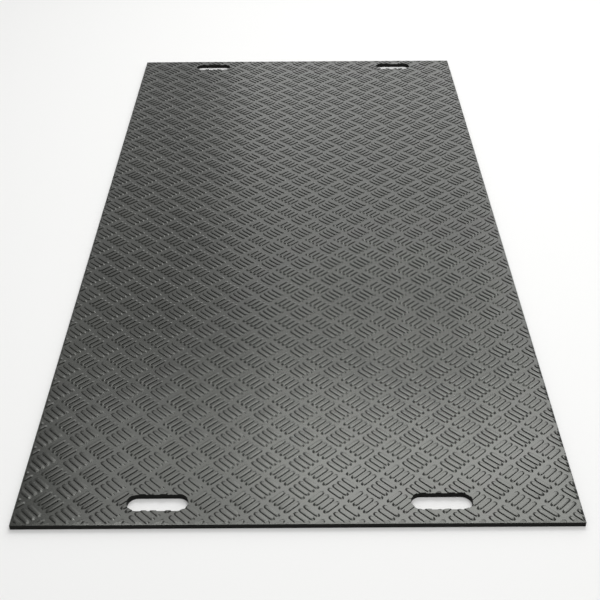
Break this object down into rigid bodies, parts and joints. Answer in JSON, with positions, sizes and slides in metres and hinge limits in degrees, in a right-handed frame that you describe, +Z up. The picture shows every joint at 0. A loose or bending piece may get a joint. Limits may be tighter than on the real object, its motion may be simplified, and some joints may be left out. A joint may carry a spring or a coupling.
{
  "type": "ground protection mat",
  "caption": "Flat plastic ground protection mat with a raised diagonal bar tread on top and a pair of hand slots through each end.",
  "frame": {"origin": "middle of the underside", "axes": "+X across the mat to the right, +Y along it from the front end to the rear end, +Z up through the tread"},
  "size_m": [1.22, 2.44, 0.0152],
  "materials": {
    "polyethylene": "satin"
  },
  "bodies": {
    "root": {"mat": "polyethylene"}
  },
  "joints": []
}
